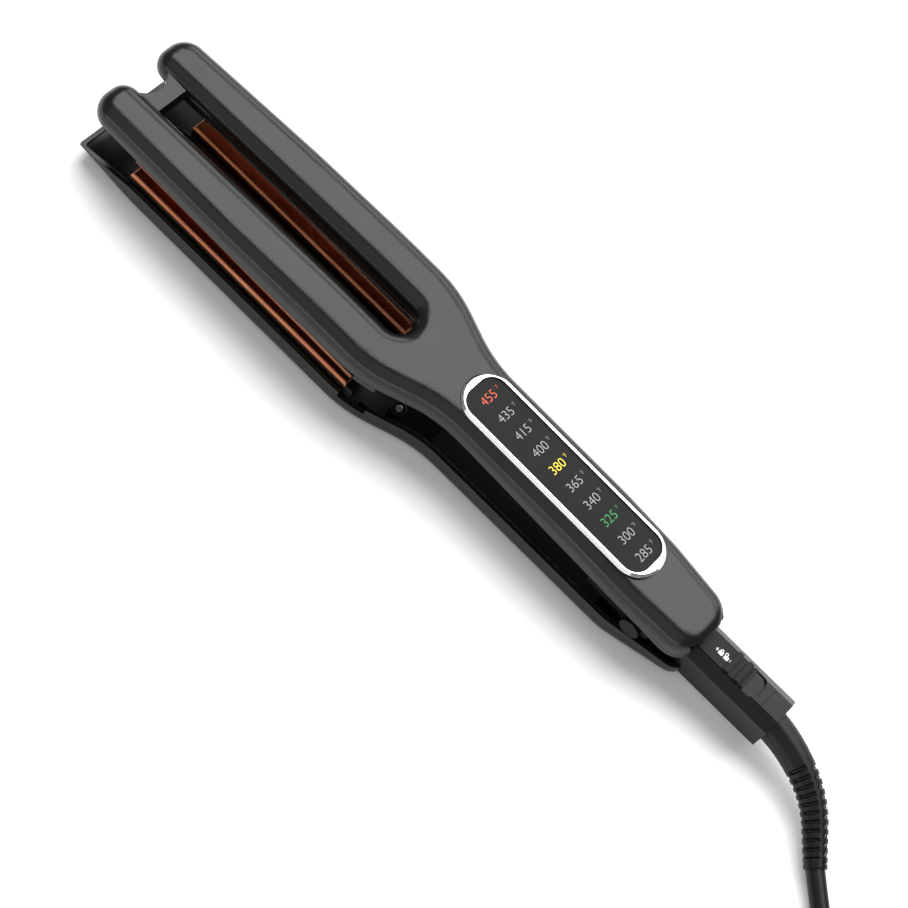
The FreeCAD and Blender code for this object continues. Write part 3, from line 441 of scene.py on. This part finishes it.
def add_relief():
    """The tapered sleeve: smooth at the tail, then rings joined by staggered bridges."""
    line = route_line([mm(*p) for p in SLEEVE_ROUTE], 16)
    lengths = [0.0]
    for a, b in zip(line, line[1:]):
        lengths.append(lengths[-1] + (b - a).length)
    whole = lengths[-1]
    slots = int((whole - SMOOTH_LONG - PLAIN_END) / SLOT_PITCH)
    frames = list(frames_along(line))
    work = bmesh.new()
    rings = []
    for distance in sleeve_rows(whole, slots):
        index = min(max(i for i, at in enumerate(lengths) if at <= distance + 1e-9), len(line) - 2)
        share = (distance - lengths[index]) / (lengths[index + 1] - lengths[index])
        point, ahead, side = frames[index]
        place = (point.lerp(frames[index + 1][0], share), ahead, side)
        rings.append(sleeve_ring(work, place, distance, whole, slots))
    for low, high in zip(rings, rings[1:]):
        for a in range(SLEEVE_SIDES):
            b = (a + 1) % SLEEVE_SIDES
            work.faces.new((low[a], low[b], high[b], high[a]))
    work.faces.new(list(reversed(rings[0])))
    work.faces.new(rings[-1])
    bmesh.ops.recalc_face_normals(work, faces=work.faces)
    sleeve = finish_mesh(work, "strain_sleeve", LOOKS["cord_black"], "lower_arm")
    for face in sleeve.data.polygons:
        face.use_smooth = True
    sleeve.data.set_sharp_from_angle(angle=math.radians(38.0))
    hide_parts("strain_relief")
    return sleeve


cord = add_cord()
sleeve = add_relief()
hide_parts("cord_lead", "cord_coil")


# ---------------------------------------------------------------- printed marks
HINGE = mm(-105.0, 0.0, 17.0)
REST_OPEN = math.radians(1.5)
# From the closed upper arm, where the marks are laid out flat, to its place at rest.
TILT = Matrix.Translation(HINGE) @ Matrix.Rotation(-REST_OPEN, 4, "Y") @ Matrix.Translation(-HINGE)
NUMBERS = (455, 435, 415, 400, 380, 365, 340, 325, 300, 285)
NUMBER_SHADES = {455: "orange", 380: "yellow", 325: "green"}
NUMBER_FIRST, NUMBER_PITCH = -12.7, 8.6
WINDOW_TOP = 36.2
SLIDER_TOP = 25.6
PRINT_THICK = 0.03


def ink(name, colour, painted_glow=0.0):
    """Printed colour, faintly uneven, with a painted glow if a glow strength is given: emission on print,
    which is no lamp.
    """
    made = material(name, colour, 0.5)
    n = Nodes(made)
    n.join(n.mixed(n.ranged(n.noise(0.6, 4.0), 0.0, 1.0), tuple(0.85 * c for c in colour), colour),
           n.shader.inputs["Base Color"])
    if painted_glow:
        n.shader.inputs["Emission Color"].default_value = (*colour, 1.0)
        n.shader.inputs["Emission Strength"].default_value = painted_glow
    n.bump([(n.noise(0.3), 0.004, 0.3)])
    return made


def letters(work, text, place, size, narrow=1.0):
    """Adds a line of text to a mesh, centred at place, reading towards -Y with its tops towards +X."""
    data = bpy.data.curves.new("text", "FONT")
    data.body, data.size = text, size * MM
    data.align_x, data.align_y = "CENTER", "CENTER"
    data.offset = -0.014 * size * MM
    data.extrude = 0.02 * MM
    holder = bpy.data.objects.new("text", data)
    mesh = bpy.data.meshes.new_from_object(holder)
    bpy.data.objects.remove(holder)
    across = Matrix(((0, 1, 0, 0), (-1, 0, 0, 0), (0, 0, 1, 0), (0, 0, 0, 1)))
    mesh.transform(Matrix.Translation(mm(*place)) @ across @ Matrix.Diagonal((narrow, 1, 1, 1)))
    work.from_mesh(mesh)
    bpy.data.meshes.remove(mesh)


def add_numbers():
    """The row of temperatures on the window, one mesh for each shade."""
    # The orange, yellow and green inks get a painted glow: emission on print, which is no lamp.
    inks = {
        "grey": ink("print_grey", (0.30, 0.30, 0.30)),
        "orange": ink("print_orange", (0.62, 0.07, 0.015), 0.15),
        "yellow": ink("print_yellow", (0.85, 0.68, 0.02), 0.3),
        "green": ink("print_green", (0.01, 0.25, 0.05), 0.15),
    }
    height = WINDOW_TOP + PRINT_THICK
    batches = {}
    for place, number in enumerate(NUMBERS):
        shade = NUMBER_SHADES.get(number, "grey")
        if shade not in batches:
            batches[shade] = bmesh.new()
        x = NUMBER_FIRST - NUMBER_PITCH * place
        letters(batches[shade], str(number), (x, -0.55, height), 5.2, 0.93)
        letters(batches[shade], "°F", (x + 1.2, -5.75, height), 2.3, 0.62)
    for shade, work in batches.items():
        finish_mesh(work, "numbers_" + shade, inks[shade], "upper_arm", TILT)


add_numbers()


def outline(work, points, low, high):
    """A flat mark: a prism over an outline of (x, y) points in mm."""
    bottom = [work.verts.new(mm(x, y, low)) for x, y in points]
    top = [work.verts.new(mm(x, y, high)) for x, y in points]
    work.faces.new(list(reversed(bottom)))
    work.faces.new(top)
    for i in range(len(points)):
        j = (i + 1) % len(points)
        work.faces.new((bottom[i], bottom[j], top[j], top[i]))


def rounded(x, y, long, wide, radius, steps=5):
    """The outline of a rectangle with round corners, its middle at (x, y)."""
    corners = ((1, 1, 0), (-1, 1, 90), (-1, -1, 180), (1, -1, 270))
    points = []
    for sx, sy, start in corners:
        for k in range(steps + 1):
            turn = math.radians(start + 90.0 * k / steps)
            points.append((x + sx * (long / 2 - radius) + radius * math.cos(turn),
                           y + sy * (wide / 2 - radius) + radius * math.sin(turn)))
    return points


def arch(x, y, radius, thick, leg, steps=10):
    """The outline of a shackle standing towards -Y, its feet at (x, y)."""
    turns = [math.pi * k / steps for k in range(steps + 1)]
    bore = radius - thick
    outer = [(x + radius * math.cos(t), y - leg - radius * math.sin(t)) for t in turns]
    inner = [(x + bore * math.cos(t), y - leg - bore * math.sin(t)) for t in reversed(turns)]
    return [(x + radius, y), *outer, (x - radius, y), (x - bore, y), *inner, (x + bore, y)]


def add_icons():
    """A shut and an open padlock on the slider, with an arrow beside each."""
    # The white ink gets a faint painted glow: emission on print, which is no lamp.
    white = ink("print_white", (0.85, 0.85, 0.85), 0.1)
    low, high = SLIDER_TOP, SLIDER_TOP + PRINT_THICK
    work = bmesh.new()
    for x, open_by in ((-134.0, 0.0), (-136.6, 0.55)):
        outline(work, rounded(x, 0.45, 1.9, 1.5, 0.25), low, high)
        outline(work, arch(x + open_by, -0.3, 0.62, 0.26, 0.3 + open_by * 0.5), low, high)
    for x, way in ((-132.4, 1.0), (-138.2, -1.0)):
        outline(work, [(x, 0.95), (x + 0.75 * way, 0.2), (x, -0.55)][::int(way)], low, high)
    bmesh.ops.recalc_face_normals(work, faces=work.faces)
    finish_mesh(work, "lock_icons", white, "lock")


add_icons()


# ---------------------------------------------------------------- floor, light
def add_floor():
    """A plain pale sheet, far wider than the view."""
    work = bmesh.new()
    bmesh.ops.create_grid(work, x_segments=24, y_segments=24, size=3.0)
    mesh = bpy.data.meshes.new("floor")
    work.to_mesh(mesh)
    work.free()
    floor = bpy.data.objects.new("floor", mesh)
    made = material("floor_paper", (0.93, 0.93, 0.93), 0.75, Specular_IOR_Level=0.2)
    n = Nodes(made)
    tone = n.mixed(n.noise(60.0, 4.0), (0.925, 0.925, 0.925), (0.935, 0.935, 0.935))
    n.join(tone, n.shader.inputs["Base Color"])
    n.bump([(n.noise(1.2, 4.0), 0.01, 0.1)])
    mesh.materials.append(made)
    bpy.context.scene.collection.objects.link(floor)


# Each softbox: its name, place, length, width and power. All of them face the origin.
SOFTBOXES = (
    ("key_softbox", (0.10, -0.52, 1.15), 2.0, 0.85, 29.0),
    ("back_softbox", (0.10, -1.5, 0.75), 2.0, 0.8, 17.0),
    ("fill_softbox", (-0.1, 1.3, 1.5), 3.0, 2.0, 14.0),
    ("side_softbox", (-0.1, 1.5, 0.24), 2.4, 0.32, 8.0),
)


def add_softbox(name, place, long, wide, power):
    data = bpy.data.lights.new(name, "AREA")
    data.shape, data.size, data.size_y = "RECTANGLE", long, wide
    data.energy = power
    light = bpy.data.objects.new(name, data)
    light.location = place
    light.rotation_euler = Vector(place).to_track_quat("Z", "Y").to_euler()
    bpy.context.scene.collection.objects.link(light)


def add_world():
    """A faint even light from all round."""
    world = bpy.data.worlds.new("studio")
    world.use_nodes = True
    background = world.node_tree.nodes["Background"]
    background.inputs["Color"].default_value = (0.96, 1.0, 0.98, 1.0)
    background.inputs["Strength"].default_value = 0.24
    bpy.context.scene.world = world
    bpy.context.scene.view_settings.view_transform = "Standard"


add_floor()
add_world()
for softbox in SOFTBOXES:
    add_softbox(*softbox)
